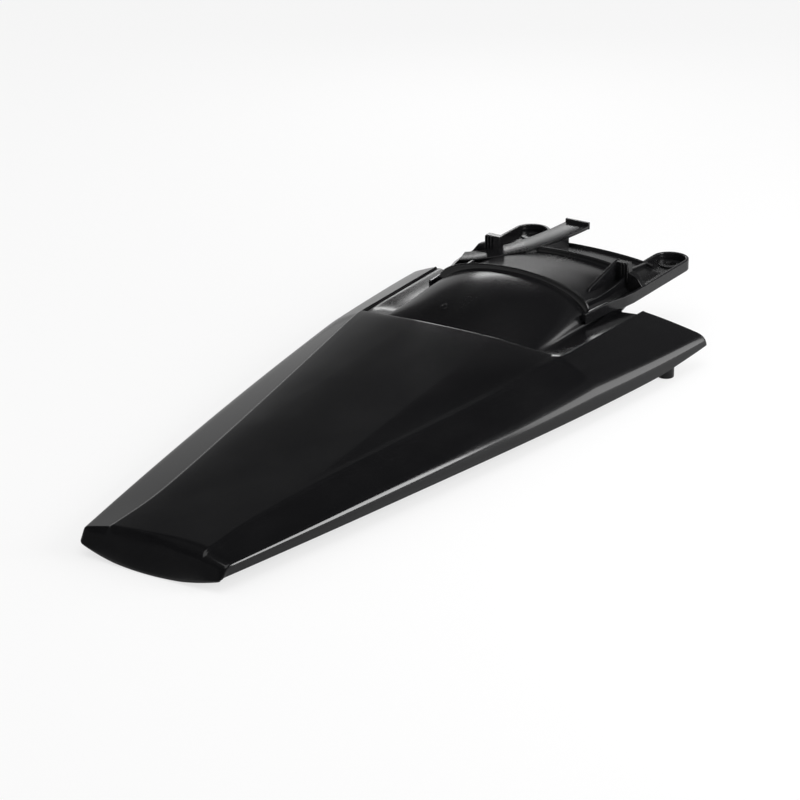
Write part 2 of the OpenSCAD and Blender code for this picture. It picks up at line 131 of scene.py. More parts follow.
def mix(a, b, t):
    """Blend of two numbers, or of two points."""
    if isinstance(a, (tuple, list)):
        return tuple(mix(p, q, t) for p, q in zip(a, b))
    return a + (b - a) * t


def deck_x(y):
    """Half width of the raised deck, and of the wings' inner edges in front of its lip."""
    if y >= LIP_Y:
        return run(y, LIP_Y, LIP_W / 2, WING_Y, WING_INNER_W / 2)
    t = max(0.0, (y - FLARE_Y) / (LIP_Y - FLARE_Y))
    return mix(DECK_TAIL_W, LIP_W, t ** DECK_BOW) / 2


def deck_mid(y):
    """Height of the deck along its middle."""
    return run(y, VISOR_Y, TAIL_H, LIP_Y, LIP_H)


def deck_edge(y):
    """Height of the deck along its raised edge."""
    return run(y, VISOR_Y, TAIL_H - 1, LIP_Y, LIP_END_H)


def deck_z(x, y):
    """Height of the crowned deck, without the facet."""
    return deck_mid(y) - (deck_mid(y) - deck_edge(y)) * (x / deck_x(y)) ** 2


def side_x(y):
    """Half width of the whole fender."""
    back = max(0.0, 1 - y / WING_POINT_Y) ** SIDE_BOW
    return mix(WING_W / 2, TAIL_W / 2 - SIDE_TAIL_INSET, back)


def side_corner(y):
    """Height at which the strips would meet the sides if the edge between them were sharp."""
    bend_h = SHOULDER_H - WING_BEND_DROP
    if y < LIP_Y:
        return run(y, 0, TAIL_H - TAIL_CORNER_DROP, LIP_Y, SHOULDER_H)
    if y < WING_BEND_Y:
        return run(y, LIP_Y, SHOULDER_H, WING_BEND_Y, bend_h)
    return run(y, WING_BEND_Y, bend_h, WING_POINT_Y, POINT_H + POINT_CORNER_RISE)


def side_r(y):
    """How broad the roll between strips and sides is."""
    if y < LIP_Y:
        return mix(EDGE_R_TAIL, EDGE_R_FRONT, (y / LIP_Y) ** EDGE_R_BOW)
    return run(y, LIP_Y, EDGE_R_FRONT, WING_POINT_Y, EDGE_R_POINT)


def side_lean(y):
    """How far the side's upper corner stands in from its lower edge, where the wings flare out."""
    return SIDE_LEAN * side_r(y) * ease((y - FLARE_Y) / (WING_BEND_Y - FLARE_Y)) ** 2


def side_low(y):
    """Height of the sides' lower edge."""
    if y < LIP_Y:
        return run(y, 0, CORNER_H - 0.4, LIP_Y / 2, EDGE_H)
    return run(y, RISE_Y, EDGE_H, WING_POINT_Y, POINT_H)


def facet_columns(y):
    """Side positions of the raised edge, the facet's inner crease and the groove at a station."""
    xc = deck_x(y)
    crease_in = run(y, APEX_Y, FACET_APEX_W, LIP_Y, LIP_W / 2 - FACET_LIP_X)
    groove_in = run(y, APEX_Y, GROOVE_APEX_W, LIP_Y, GROOVE_LIP_W)
    return xc, xc - crease_in, xc - groove_in


def facet_fall(y):
    """How deep the facet's outer side lies; it grows from the apex and eases off before the lip."""
    grown = run(y, APEX_Y, 0, FACET_FULL_Y, FACET_DIP)
    return grown * run(y, FACET_EASE_Y, 1, LIP_Y, FACET_LIP_SHARE)


def edge_dip(y, side):
    """How far the raised edge sinks beside the facet; it is back at its height just before the lip."""
    if side < 0:
        return 0.0
    return facet_fall(y) * (1 - ease((y - LIP_Y + EDGE_RISE_RUN) / EDGE_RISE_RUN))


def deck_top(x, y, side):
    """Height of the deck's upper face, with the facet cut into its right half."""
    xc, xu, xv = facet_columns(y)
    if side < 0 or x <= xu:
        return deck_z(x, y)
    edge = deck_z(xc, y) - edge_dip(y, side)
    if x >= xc:
        return edge
    low = deck_z(xv, y) - facet_fall(y)
    if x <= xv:
        return mix(deck_z(xu, y), low, (x - xu) / (xv - xu))
    return mix(low, edge, (x - xv) / (xc - xv))


def half_section(y, side):
    """The half section at a station, from the middle over the raised edge to the lower edge."""
    xc, xu, xv = facet_columns(y)
    near = run(y, APEX_Y, CREASE, APEX_Y + CREASE_RUN, CREASE_FRONT)
    across = [0, xu * 0.3, xu * 0.6, xu * 0.85, xu - near, xu + near, mix(xu, xv, 0.35),
              mix(xu, xv, 0.7), xv - near, xv + near, xc - 2.0, xc - 0.7]
    across = [max(a, 0.0) for a in across]
    for k in range(1, len(across)):
        across[k] = max(across[k], across[k - 1] + 0.3)
    points = [(x, deck_top(x, y, side)) for x in across]
    edge = deck_edge(y) - edge_dip(y, side)
    foot = (xc + STEP_W, edge - STEP_H)
    corner = (side_x(y) - side_lean(y), side_corner(y))
    r = side_r(y)
    along = (foot[0] - corner[0], foot[1] - corner[1])
    size = math.hypot(*along)
    start = (corner[0] + along[0] / size * r, corner[1] + along[1] / size * r)
    end = (side_x(y) - ROLL_END_LEAN * side_lean(y), corner[1] - r)
    low = (side_x(y) - max(0.0, SIDE_FOOT_INSET - side_lean(y)), side_low(y))
    points += [(xc, edge - 0.05), (xc + 0.9, edge - 0.5 * STEP_H), (foot[0], foot[1] - 0.05)]
    points += [(foot[0] - along[0] / size * 1.3, foot[1] - along[1] / size * 1.3)]
    points += [mix(foot, start, 0.35), mix(foot, start, 0.7), start]
    for k in range(1, ROLL_STEPS + 1):
        t = k / ROLL_STEPS
        points.append(tuple(s * (1 - t) ** 2 + c * 2 * t * (1 - t) + e * t * t
                            for s, c, e in zip(start, corner, end)))
    points += [mix(end, low, 0.5), mix(end, low, 0.85), low]
    return points


HALF_N = len(half_section(200.0, -1)) - 1
START_J = HALF_N - ROLL_STEPS - 3
ROLL_PLACE = {START_J + k: float(k) for k in range(ROLL_STEPS + 1)}
ROLL_PLACE.update({HALF_N - 2: 6.0, HALF_N - 1: 6.7, HALF_N: 7.0})


def share(j, y, side):
    """Where column j stands between the middle, 0, and the outer side, 1."""
    return half_section(y, side)[j][0] / side_x(y)


def start_y(j):
    """Station at which column j of the deck starts, over the visor."""
    return VISOR_Y - VISOR_SWEEP * share(j, VISOR_Y, -1) ** 2


def lip_at(j):
    """Station at which column j reaches the deck's front lip."""
    x = half_section(LIP_Y, -1)[min(j, BAY_J)][0]
    return LIP_Y + LIP_SWEEP * min(1.0, x / (LIP_W / 2)) ** 2


def front_at(j):
    """Station at which column j reaches the wing's front edge."""
    x = half_section(WING_Y, 1)[j][0]
    t = (x - WING_INNER_W / 2) / ((WING_W - WING_INNER_W) / 2)
    return WING_Y + WING_SWEEP * min(1.0, max(0.0, t)) ** FRONT_BOW


def tail_bottom(j):
    """Point of the visor's lower edge in column j."""
    f = share(j, VISOR_Y, -1)
    k = ROLL_PLACE.get(j, 0.0)
    return (f * TAIL_W / 2, TAIL_SWEEP * f * f + 0.5 * k, (CORNER_H - 0.6) * f ** 2.2 + 0.1 * k)


# Rows of the skin, as shares of the visor, of the deck up to its lip, and of the wings. The rows named
# "crease" hold the edge over the visor, and their place depends on the column.
VISOR_STEPS = [0.0, 0.05, 0.35, 0.68, "crease"]
DECK_STEPS = [0.0, "crease", 0.05, 0.11, 0.18, 0.26, 0.34, 0.43, 0.52, 0.61, 0.70, 0.79, 0.88, 0.95,
              0.988, 0.997, 1.0]
WING_STEPS = [0.015, 0.12, 0.26, 0.4, 0.54, 0.68, 0.82, 0.94, 0.99, 1.0]
VISOR_LENGTH, DECK_LENGTH = 27, 370
LIP_I = len(VISOR_STEPS) + len(DECK_STEPS) - 1
LAST_I = LIP_I + len(WING_STEPS)


def crease_room(j, side):
    """The crease over the visor is sharp on the left and fades out towards the right."""
    place = share(j, VISOR_Y, -1) * side
    return mix(CREASE_ROOM_LEFT, CREASE_ROOM_RIGHT, ease((place + 0.35) / 0.9))


def shell_point(i, j, side):
    """One point of the upper skin: row i from the tail, column j from the middle."""
    if i < len(VISOR_STEPS):
        t = VISOR_STEPS[i]
        if t == "crease":
            t = 1 - crease_room(j, side) / VISOR_LENGTH
        low = tail_bottom(j)
        y = start_y(j)
        x, z = half_section(y, side)[j]
        if j < START_J:
            z = mix(TAIL_H - (TAIL_H - side_corner(y)) * share(j, y, side) ** 3.8, z, t ** 6)
        bulge = 3 * t * (1 - t) * (1 - share(j, y, side) ** 4)
        p = mix(low, (x, y, z), t)
        return (p[0], p[1] - bulge, p[2] + bulge)
    if i <= LIP_I:
        t = DECK_STEPS[i - len(VISOR_STEPS)]
        if t == "crease":
            t = crease_room(j, side) / DECK_LENGTH
        y = mix(start_y(j), lip_at(j), t)
    else:
        y = mix(lip_at(j), front_at(j), WING_STEPS[i - LIP_I - 1])
    x, z = half_section(y, side)[j]
    return (x, y, z)


def dome(y):
    """Height of the tunnel along its middle."""
    if y < RIB_1_Y:
        return DOME_H - (DOME_H - LIP_H + 2) * ((RIB_1_Y - y) / (RIB_1_Y - LIP_Y)) ** 2
    return run(y, RIB_1_Y, DOME_H, RIM_Y, RIM_H)


def arch(x):
    """Share of the dome's height over the gutters, across the tunnel."""
    f = min(1.0, abs(x) / (TUNNEL_W / 2))
    return max(0.0, 1 - f ** ARCH_POWER) ** (1 / ARCH_POWER)


def base_z(x, y, wall):
    """Height of the gutters' floor, from the deck's lip to the arms, carried on under the tunnel."""
    at = min(abs(x), LIP_W / 2)
    out = min(1.0, max(0.0, (abs(x) - TUNNEL_W / 2) / (deck_x(y) - TUNNEL_W / 2)))
    crest = CREST_H * max(0.0, 1 - abs(y - CREST_Y) / (WING_Y - CREST_Y))
    if x < 0:
        floor_z = GUTTER_H + GUTTER_RISE_LEFT * out + crest * max(0.0, 1 - 2 * out)
    else:
        floor_z = GUTTER_H + GUTTER_RISE_RIGHT * out + crest
    floor_z += (ARM_H - wall - GUTTER_H) * ease((y - WING_Y) / ARM_RUN)
    lip = deck_top(at, LIP_Y, 1 if x > 0 else -1) - UNDER_DECK
    return mix(lip, floor_z, ease((y - LIP_Y - LIP_SWEEP * (at / (LIP_W / 2)) ** 2) / GUTTER_RUN))


def tunnel_z(x, y, wall=WALL):
    """Height of the upper face of tunnel and gutters."""
    base = base_z(x, y, wall)
    return base + (dome(y) - base_z(0, y, wall)) * arch(x)


# Mesh tools.


def unit(v):
    return v.normalized() if v.length > 1e-9 else Vector((0, 0, 1))


def grid_normals(points, passes):
    """Normals of a grid of points by differences, evened out with their neighbours."""
    normals = {}
    for (i, j), p in points.items():
        a = points.get((i, j + 1), p) - points.get((i, j - 1), p)
        b = points.get((i + 1, j), p) - points.get((i - 1, j), p)
        normals[i, j] = unit(a.cross(b))
    for _ in range(passes):
        smooth = {}
        for (i, j), n in normals.items():
            total = n * 2
            for key in ((i, j + 1), (i, j - 1), (i + 1, j), (i - 1, j)):
                total = total + normals.get(key, n)
            smooth[i, j] = unit(total)
        normals = smooth
    return normals


def sheet_mesh(name, points, cells, wall, passes=2, floor=None):
    """A closed sheet: the grid's skin, a skin that lies one wall inside it, and the rim between them."""
    normals = grid_normals(points, passes)
    bm = bmesh.new()
    outer, inner = {}, {}
    used = {corner for i, j in cells for corner in ((i, j), (i + 1, j), (i, j + 1), (i + 1, j + 1))}
    for key in sorted(used):
        p = points[key]
        q = p - normals[key] * wall
        if floor is not None:
            q.z = max(floor, q.z)
        outer[key] = bm.verts.new(p * MM)
        inner[key] = bm.verts.new(q * MM)
    edges = {}
    for i, j in cells:
        ring = [(i, j), (i, j + 1), (i + 1, j + 1), (i + 1, j)]
        bm.faces.new([outer[k] for k in ring])
        bm.faces.new([inner[k] for k in reversed(ring)])
        for a, b in zip(ring, ring[1:] + ring[:1]):
            if (b, a) in edges:
                del edges[b, a]
            else:
                edges[a, b] = True
    for a, b in edges:
        bm.faces.new([outer[b], outer[a], inner[a], inner[b]])
    return finish_mesh(name, bm)


def finish_mesh(name, bm, sharp=None):
    """Turns a bmesh into a smooth-shaded object, moved so that the fender's middle is at Y = 0."""
    bmesh.ops.translate(bm, verts=bm.verts, vec=(0, -HALF_LENGTH * MM, 0))
    bmesh.ops.recalc_face_normals(bm, faces=bm.faces)
    mesh = bpy.data.meshes.new(name)
    bm.to_mesh(mesh)
    bm.free()
    for poly in mesh.polygons:
        poly.use_smooth = True
    if sharp is not None:
        mesh.set_sharp_from_angle(angle=math.radians(sharp))
    obj = bpy.data.objects.new(name, mesh)
    bpy.context.scene.collection.objects.link(obj)
    return obj


def subdivide(obj, levels):
    """Divides and smooths a sheet's faces, with its corners kept."""
    smooth = obj.modifiers.new("Smooth skin", "SUBSURF")
    smooth.levels = levels
    smooth.render_levels = levels
    smooth.boundary_smooth = "PRESERVE_CORNERS"


def settle(obj, *materials):
    """Gives a finished piece its materials and its place on the part."""
    for material in materials:
        obj.data.materials.append(material)
    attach(obj, "root")
    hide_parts(NODE)


def loft_mesh(name, rings, sharp=None):
    """A closed loft through rings with the same number of points."""
    bm = bmesh.new()
    rows = [[bm.verts.new(Vector(p) * MM) for p in ring] for ring in rings]
    count = len(rings[0])
    for a, b in zip(rows, rows[1:]):
        for k in range(count):
            m = (k + 1) % count
            bm.faces.new([a[k], a[m], b[m], b[k]])
    bm.faces.new(list(reversed(rows[0])))
    bm.faces.new(rows[-1])
    return finish_mesh(name, bm, sharp)


def lying(u, v, w):
    """Places a plate flat, with its thickness upwards."""
    return u, v, w


def upright_across(u, v, w):
    """Stands a plate up across the fender, with its thickness along it."""
    return u, w, v


def upright_along(u, v, w):
    """Stands a plate up along the fender, with its thickness across it."""
    return w, u, v


def plate_mesh(name, loops, low, high, place, edge=0.5, mirror=False):
    """A plate cut to closed outlines, from low to high, with rounded edges and stood as place says."""
    edge = min(edge, (high - low) / 2 - 0.05)
    curve = bpy.data.curves.new(name, "CURVE")
    curve.dimensions = "2D"
    curve.fill_mode = "BOTH"
    curve.extrude = (high - low) / 2 - edge
    curve.bevel_depth = edge
    curve.bevel_resolution = 2
    curve.offset = -edge
    for loop in loops:
        spline = curve.splines.new("POLY")
        spline.points.add(len(loop) - 1)
        spline.use_cyclic_u = True
        for point, (u, v) in zip(spline.points, loop):
            point.co = (u, v, 0, 1)
    holder = bpy.data.objects.new(name, curve)
    bpy.context.scene.collection.objects.link(holder)
    bpy.context.view_layer.update()
    depsgraph = bpy.context.evaluated_depsgraph_get()
    made = bpy.data.meshes.new_from_object(holder.evaluated_get(depsgraph))
    bpy.data.objects.remove(holder)
    bpy.data.curves.remove(curve)
    bm = bmesh.new()
    bm.from_mesh(made)
    bpy.data.meshes.remove(made)
    bmesh.ops.remove_doubles(bm, verts=bm.verts, dist=0.01)
    middle = (low + high) / 2
    for v in bm.verts:
        x, y, z = place(v.co.x, v.co.y, v.co.z + middle)
        v.co = Vector((-x if mirror else x, y, z)) * MM
    obj = finish_mesh(name, bm, sharp=35)
    obj.modifiers.new("Even shading", "WEIGHTED_NORMAL").keep_sharp = True
    return obj


# Sizes and colours that a user may change.


class FenderShellProps(bpy.types.PropertyGroup):
    wall: bpy.props.FloatProperty(
        name="Wall", description="Thickness of the moulded skin", default=WALL * MM,
        min=0.0015, max=0.004, unit="LENGTH", precision=4)
    smoothing: bpy.props.IntProperty(
        name="Smoothing", description="How often the skin's faces are divided", default=2,
        min=0, max=3)


class FenderRibProps(bpy.types.PropertyGroup):
    thickness: bpy.props.FloatProperty(
        name="Rib thickness", description="Thickness of ribs, walls and fin", default=0.0026,
        min=0.0018, max=0.0035, unit="LENGTH", precision=4)
    height: bpy.props.FloatProperty(
        name="Rear rib height", description="Height of the rear rib over the tunnel", default=0.0036,
        min=0.002, max=0.006, unit="LENGTH", precision=4)
    middle_height: bpy.props.FloatProperty(
        name="Middle rib height", description="Height of the middle rib over the tunnel",
        default=0.0040, min=0.002, max=0.006, unit="LENGTH", precision=4)
    front_height: bpy.props.FloatProperty(
        name="Rim height", description="Height of the rim at the tunnel's front", default=0.0024,
        min=0.001, max=0.006, unit="LENGTH", precision=4)


class FenderStrapProps(bpy.types.PropertyGroup):
    width: bpy.props.FloatProperty(
        name="Strap width", description="Width of the strap that ends in the seat tongue",
        default=0.020, min=0.014, max=0.024, unit="LENGTH", precision=4)
    thickness: bpy.props.FloatProperty(
        name="Strap thickness", description="Thickness of the strap", default=0.003,
        min=0.002, max=0.004, unit="LENGTH", precision=4)


class FenderMountProps(bpy.types.PropertyGroup):
    bolt_hole: bpy.props.FloatProperty(
        name="Bolt hole", description="Diameter of the holes in the arms", default=0.009,
        min=0.005, max=0.013, unit="LENGTH", precision=4)
    bolt_pad: bpy.props.FloatProperty(
        name="Bolt pad", description="Diameter of the raised pads round the bolt holes",
        default=0.018, min=0.014, max=0.022, unit="LENGTH", precision=4)
    boss: bpy.props.FloatProperty(
        name="Boss", description="Diameter of the bosses under the wings", default=0.0125,
        min=0.010, max=0.016, unit="LENGTH", precision=4)
    boss_hole: bpy.props.FloatProperty(
        name="Boss hole", description="Diameter of the screw holes in the bosses", default=0.0052,
        min=0.003, max=0.007, unit="LENGTH", precision=4)


class FenderFinishProps(bpy.types.PropertyGroup):
    colour: bpy.props.FloatVectorProperty(
        name="Plastic", description="Colour of the moulded plastic", default=(0.0060, 0.0060, 0.0066),
        size=3, subtype="COLOR", min=0, max=1)
    scuff_colour: bpy.props.FloatVectorProperty(
        name="Haze", description="Colour of the faint haze on the plastic",
        default=(0.0105, 0.0105, 0.0110), size=3, subtype="COLOR", min=0, max=1)
    gloss_roughness: bpy.props.FloatProperty(
        name="Polished roughness", description="Roughness of the deck, sides and wings",
        default=0.11, min=0.02, max=0.6, subtype="FACTOR")
    satin_roughness: bpy.props.FloatProperty(
        name="Satin roughness", description="Roughness of the tunnel, ribs, arms and mountings",
        default=0.2, min=0.02, max=0.8, subtype="FACTOR")
    grain_roughness: bpy.props.FloatProperty(
        name="Grained roughness", description="Roughness of the strap", default=0.27,
        min=0.02, max=0.8, subtype="FACTOR")


class FenderStageProps(bpy.types.PropertyGroup):
    floor_colour: bpy.props.FloatVectorProperty(
        name="Floor", description="Colour of the plain studio floor", default=(0.95, 0.95, 0.95),
        size=3, subtype="COLOR", min=0, max=1)
    overhead_power: bpy.props.FloatProperty(
        name="Overhead lamp", description="Power of the soft lamp overhead, in watts",
        default=12.0, min=0)
    front_power: bpy.props.FloatProperty(
        name="Front lamp", description="Power of the soft lamp at the front left, in watts",
        default=0.36, min=0)
    edge_power: bpy.props.FloatProperty(
        name="Edge lamp", description="Power of the low soft lamp at the front right, in watts",
        default=0.95, min=0)
    side_power: bpy.props.FloatProperty(
        name="Side lamp", description="Power of the soft lamp at the right, in watts",
        default=7.5, min=0)


# Materials.
PLASTIC_IOR = 1.49
BUMP_STRENGTH, BUMP_DEPTH = 0.35, 0.0004


def moulded_surface_group():
    """Shared look of moulded plastic: slow ripples, a fine skin, and haze that varies over it."""
    group = bpy.data.node_groups.get("Moulded surface")
    if group:
        return group
    group = bpy.data.node_groups.new("Moulded surface", "ShaderNodeTree")
    face = group.interface
    for name, default in (("Roughness", 0.15), ("Haze", 0.05), ("Ripple", 0.4), ("Skin", 0.1)):
        socket = face.new_socket(name=name, in_out="INPUT", socket_type="NodeSocketFloat")
        socket.default_value = default
    for name in ("Plastic", "Haze Colour"):
        face.new_socket(name=name, in_out="INPUT", socket_type="NodeSocketColor")
    face.new_socket(name="Colour", in_out="OUTPUT", socket_type="NodeSocketColor")
    face.new_socket(name="Roughness", in_out="OUTPUT", socket_type="NodeSocketFloat")
    face.new_socket(name="Height", in_out="OUTPUT", socket_type="NodeSocketFloat")
    nodes, links = group.nodes, group.links
    enter = nodes.new("NodeGroupInput")
    leave = nodes.new("NodeGroupOutput")
    place = nodes.new("ShaderNodeTexCoord")

    def noise(scale, detail, stretch=(1, 1, 1)):
        mapping = nodes.new("ShaderNodeMapping")
        mapping.inputs["Scale"].default_value = stretch
        texture = nodes.new("ShaderNodeTexNoise")
        texture.inputs["Scale"].default_value = scale
        texture.inputs["Detail"].default_value = detail
        links.new(place.outputs["Object"], mapping.inputs["Vector"])
        links.new(mapping.outputs["Vector"], texture.inputs["Vector"])
        return texture.outputs["Fac"]

    def math_node(operation, a, b):
        node = nodes.new("ShaderNodeMath")
        node.operation = operation
        for socket, value in zip(node.inputs, (a, b)):
            if isinstance(value, (int, float)):
                socket.default_value = value
            else:
                links.new(value, socket)
        return node.outputs["Value"]

    ripple = noise(14, 1, (1, 0.5, 1))
    skin = noise(700, 2)
    cloud = noise(24, 5, (1, 0.6, 1))
    speck = noise(420, 3)
    patches = nodes.new("ShaderNodeMapRange")
    patches.inputs["From Min"].default_value = 0.45
    patches.inputs["From Max"].default_value = 0.75
    links.new(cloud, patches.inputs["Value"])
    haze = math_node("MULTIPLY", patches.outputs["Result"], speck)
    rough = math_node("MULTIPLY", haze, enter.outputs["Haze"])
    links.new(math_node("ADD", rough, enter.outputs["Roughness"]), leave.inputs["Roughness"])
    slow = math_node("MULTIPLY", ripple, enter.outputs["Ripple"])
    fine = math_node("MULTIPLY", skin, enter.outputs["Skin"])
    links.new(math_node("ADD", slow, fine), leave.inputs["Height"])
    tint = nodes.new("ShaderNodeMix")
    tint.data_type = "RGBA"
    links.new(haze, tint.inputs[0])
    links.new(enter.outputs["Plastic"], tint.inputs[6])
    links.new(enter.outputs["Haze Colour"], tint.inputs[7])
    links.new(tint.outputs[2], leave.inputs["Colour"])
    return group


def plastic_material(name, roughness_setting, haze, ripple, skin):
    """Black moulded plastic; the shared group varies its colour, roughness and surface."""
    found = bpy.data.materials.get(name)
    if found:
        return found
    finish = bpy.context.scene.fender_finish
    material = bpy.data.materials.new(name)
    material.use_nodes = True
    nodes, links = material.node_tree.nodes, material.node_tree.links
    shader = nodes["Principled BSDF"]
    shader.inputs["IOR"].default_value = PLASTIC_IOR
    group = nodes.new("ShaderNodeGroup")
    group.node_tree = moulded_surface_group()
    group.inputs["Roughness"].default_value = getattr(finish, roughness_setting)
    group.inputs["Haze"].default_value = haze
    group.inputs["Ripple"].default_value = ripple
    group.inputs["Skin"].default_value = skin
    group.inputs["Plastic"].default_value = (*finish.colour, 1)
    group.inputs["Haze Colour"].default_value = (*finish.scuff_colour, 1)
    bump = nodes.new("ShaderNodeBump")
    bump.inputs["Strength"].default_value = BUMP_STRENGTH
    bump.inputs["Distance"].default_value = BUMP_DEPTH
    links.new(group.outputs["Colour"], shader.inputs["Base Color"])
    links.new(group.outputs["Roughness"], shader.inputs["Roughness"])
    links.new(group.outputs["Height"], bump.inputs["Height"])
    links.new(bump.outputs["Normal"], shader.inputs["Normal"])
    return material


def polished_plastic():
    return plastic_material("Polished black plastic", "gloss_roughness", haze=0.10, ripple=1.0, skin=0.02)


def grained_plastic():
    return plastic_material("Grained black plastic", "grain_roughness", haze=0.16, ripple=0.5, skin=0.20)


def satin_plastic():
    return plastic_material("Satin black plastic", "satin_roughness", haze=0.16, ripple=0.5, skin=0.10)


# Pieces of the moulding.


class FENDER_OT_deck(bpy.types.Operator):
    """Add the raised deck with its visor, rolled sides and wings"""
    bl_idname = "fender.deck"
    bl_label = "Deck and wings"
    bl_options = {"REGISTER", "UNDO"}

    def execute(self, context):
        shell = context.scene.fender_shell
        points = {}
        for i in range(LAST_I + 1):
            for j in range(-HALF_N, HALF_N + 1):
                if i > LIP_I and abs(j) < BAY_J:
                    continue
                x, y, z = shell_point(i, abs(j), 1 if j > 0 else -1)
                points[i, j] = Vector((-x if j < 0 else x, y, z))
        cells = [(i, j) for i in range(LAST_I) for j in range(-HALF_N, HALF_N)
                 if i < LIP_I or j >= BAY_J or j < -BAY_J]
        deck = sheet_mesh("deck_and_wings", points, cells, shell.wall / MM, passes=3, floor=0.0)
        subdivide(deck, shell.smoothing)
        settle(deck, polished_plastic())
        return {"FINISHED"}


# The tunnel starts under the lip. Columns: steps over half its arch, then shares of the gutter's width.
# Rows: shares of its length.
TUNNEL_BACK = LIP_Y - 7
ARCH_STEPS = 14
GUTTER_STEPS = [0.12, 0.3, 0.52, 0.72, 0.84, 0.92, 1.0]
TUNNEL_J = ARCH_STEPS + len(GUTTER_STEPS)
TUNNEL_STEPS = [0, 0.02, 0.07, 0.13, 0.19, 0.25, 0.31, 0.37, 0.43, 0.50, 0.57, 0.64, 0.71, 0.78, 0.85,
                0.92, 0.975, 1.0]


def tunnel_point(i, k, wall):
    """One point of the tunnel and the gutters: row i from the lip, column k from the middle."""
    j = abs(k)
    side = -1 if k < 0 else 1
    front = RIM_Y if j <= ARCH_STEPS else WING_Y + 2
    y = mix(TUNNEL_BACK, front, TUNNEL_STEPS[i])
    if j <= ARCH_STEPS:
        x = TUNNEL_W / 2 * math.sin(math.radians(90 * j / ARCH_STEPS))
        x = mix(x, TUNNEL_W / 2 * j / ARCH_STEPS, 0.12)
    else:
        x = mix(TUNNEL_W / 2, deck_x(y) + 0.9, GUTTER_STEPS[j - ARCH_STEPS - 1])
    z = tunnel_z(side * x, y, wall)
    if j >= TUNNEL_J - 1:
        z = mix(z, deck_edge(y) - 2.2, (j - TUNNEL_J + 3) / 3)
    if y < LIP_Y + LIP_SWEEP * (x / TUNNEL_W) ** 2:
        z = deck_top(min(x, deck_x(y)), y, side) - UNDER_DECK
    return Vector((side * x, y, z))


class FENDER_OT_tunnel(bpy.types.Operator):
    """Add the domed tunnel over the wheel and the gutters beside it"""
    bl_idname = "fender.tunnel"
    bl_label = "Wheel tunnel"
    bl_options = {"REGISTER", "UNDO"}

    def execute(self, context):
        shell = context.scene.fender_shell
        wall = shell.wall / MM
        rows = len(TUNNEL_STEPS) - 1
        points = {(i, j): tunnel_point(i, j, wall)
                  for i in range(rows + 1) for j in range(-TUNNEL_J, TUNNEL_J + 1)}
        cells = [(i, j) for i in range(rows) for j in range(-TUNNEL_J, TUNNEL_J)]
        tunnel = sheet_mesh("wheel_tunnel", points, cells, wall, passes=1)
        subdivide(tunnel, shell.smoothing)
        settle(tunnel, satin_plastic())
        return {"FINISHED"}


def rib_mesh(name, y, height, foot_height, half_w, t):
    """A rib over the tunnel: rounded on top, with a small fillet along each foot."""
    steps = 44
    rings = []
    for k in range(-steps, steps + 1):
        x = half_w * math.sin(math.radians(90 * k / steps))
        h = mix(height, foot_height, (abs(x) / half_w) ** 3)
        base = tunnel_z(x, y + t / 2)
        profile = [(-t / 2 - 0.8, -0.5), (-t / 2 - 0.2, 0.15), (-t / 2, 0.5)]
        profile += [(-t / 2 * math.cos(math.radians(a)), h - t / 2 + t / 2 * math.sin(math.radians(a)))
                    for a in range(0, 181, 20)]
        profile += [(t / 2, 0.5), (t / 2 + 0.2, 0.15), (t / 2 + 0.8, -0.5), (0.0, -1.6)]
        rings.append([(x, y + t / 2 + v, base + w) for v, w in profile])
    return loft_mesh(name, rings, sharp=50)


class FENDER_OT_ribs(bpy.types.Operator):
    """Add the two ribs over the tunnel and the rib along its front rim"""
    bl_idname = "fender.ribs"
    bl_label = "Tunnel ribs"
    bl_options = {"REGISTER", "UNDO"}

    def execute(self, context):
        ribs = context.scene.fender_ribs
        t, satin = ribs.thickness / MM, satin_plastic()
        rows = (("rib_rear", RIB_1_Y, ribs.height / MM, 5, 0.5),
                ("rib_middle", RIB_2_Y, ribs.middle_height / MM, 1, 10),
                ("rib_front_rim", RIM_Y - t, ribs.front_height / MM, 0.6, 8))
        for name, y, height, foot_rise, inset in rows:
            settle(rib_mesh(name, y, height, height + foot_rise, TUNNEL_W / 2 - inset, t), satin)
        return {"FINISHED"}


ARM_BACK_Y = RIB_1_Y - 9


def arm_edge(inset):
    """The arm's outline from its rear foot round the bolt and back to the tunnel, moved inwards."""
    path = [(TUNNEL_W / 2 + 2.5 - inset, ARM_BACK_Y), (ARM_OUT - 5 - inset, WING_Y - 12),
            (ARM_OUT - 1.6 - inset, WING_Y), (ARM_OUT - inset, WING_Y + 14)]
    r = ARM_W / 2 - inset
    path += [(ARM_X + r * math.cos(math.radians(a)), BOLT_Y + r * math.sin(math.radians(a)))
             for a in range(0, 181, 6)]
    path += [(ARM_IN + inset, RIM_Y - 1)]
    return path


def box(u0, u1, v0, v1):
    """A rectangle's outline."""
    return [(u0, v0), (u1, v0), (u1, v1), (u0, v1)]


def circle(x, y, r, steps=40):
    return [(x + r * math.cos(math.tau * k / steps), y + r * math.sin(math.tau * k / steps))
            for k in range(steps)]


